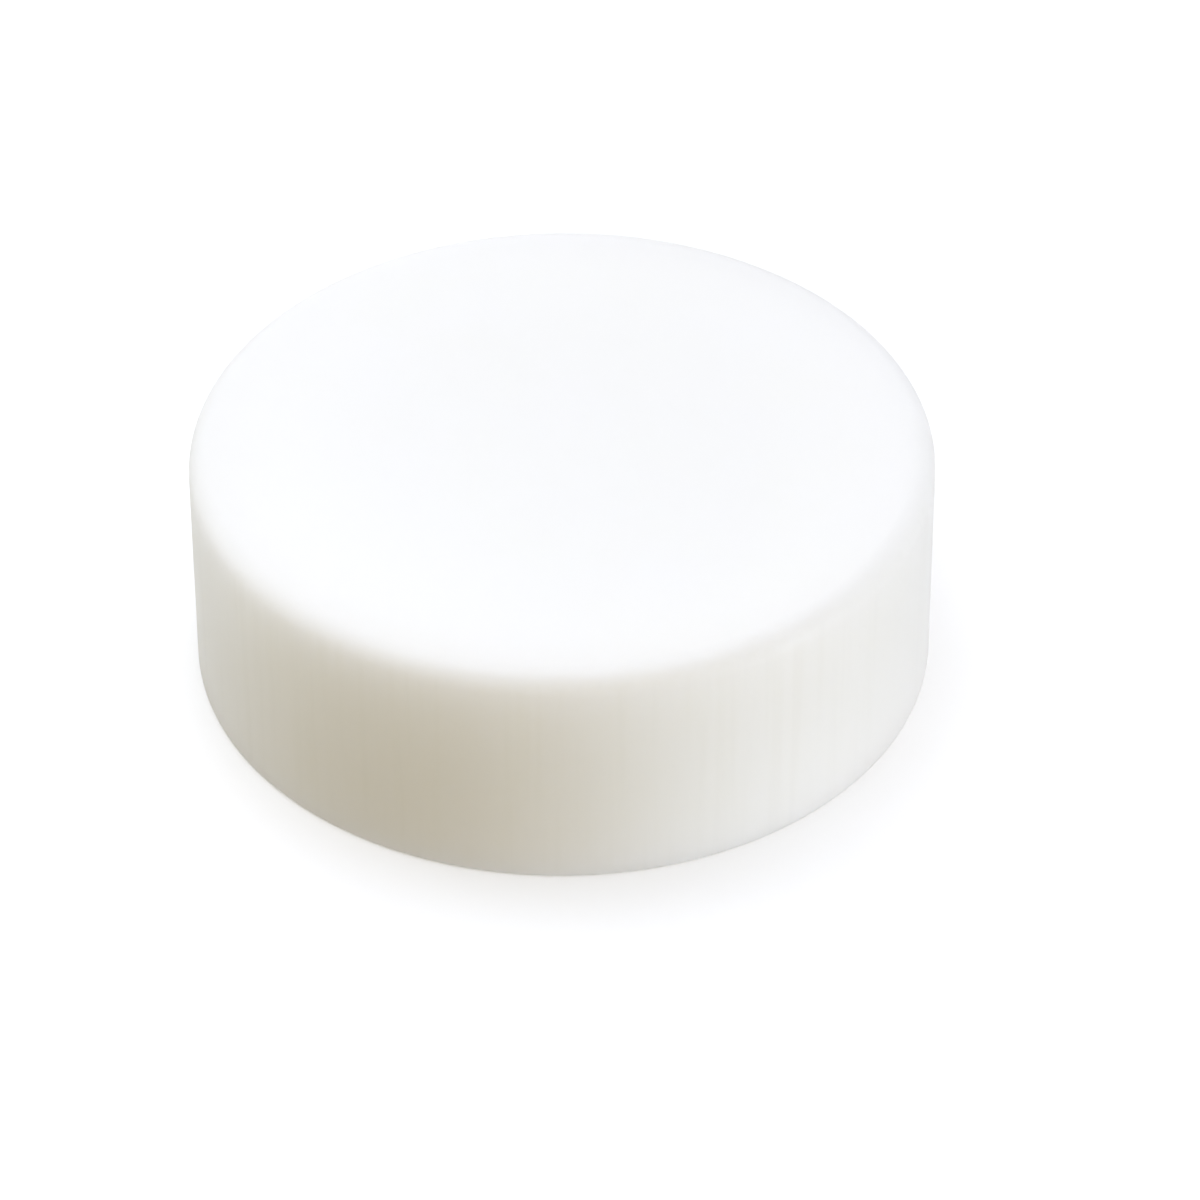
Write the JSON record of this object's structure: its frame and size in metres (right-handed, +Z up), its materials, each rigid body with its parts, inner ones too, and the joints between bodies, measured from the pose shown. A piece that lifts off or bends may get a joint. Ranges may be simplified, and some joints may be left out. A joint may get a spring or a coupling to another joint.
{
  "type": "shaving soap puck",
  "caption": "Round cake of white shaving soap with a rounded upper edge, flat lathering face and slightly hollow base; drops into a shaving bowl.",
  "frame": {"origin": "centre of the base, on the surface that the puck stands on", "axes": "+Z up along the puck's axis, from the base to the lathering face; X and Y are free, because the puck is round"},
  "size_m": [0.084, 0.084, 0.028],
  "materials": {
    "soap": "waxy satin, slightly translucent poured soap"
  },
  "bodies": {
    "root": {"soap_puck": "soap"}
  },
  "joints": []
}
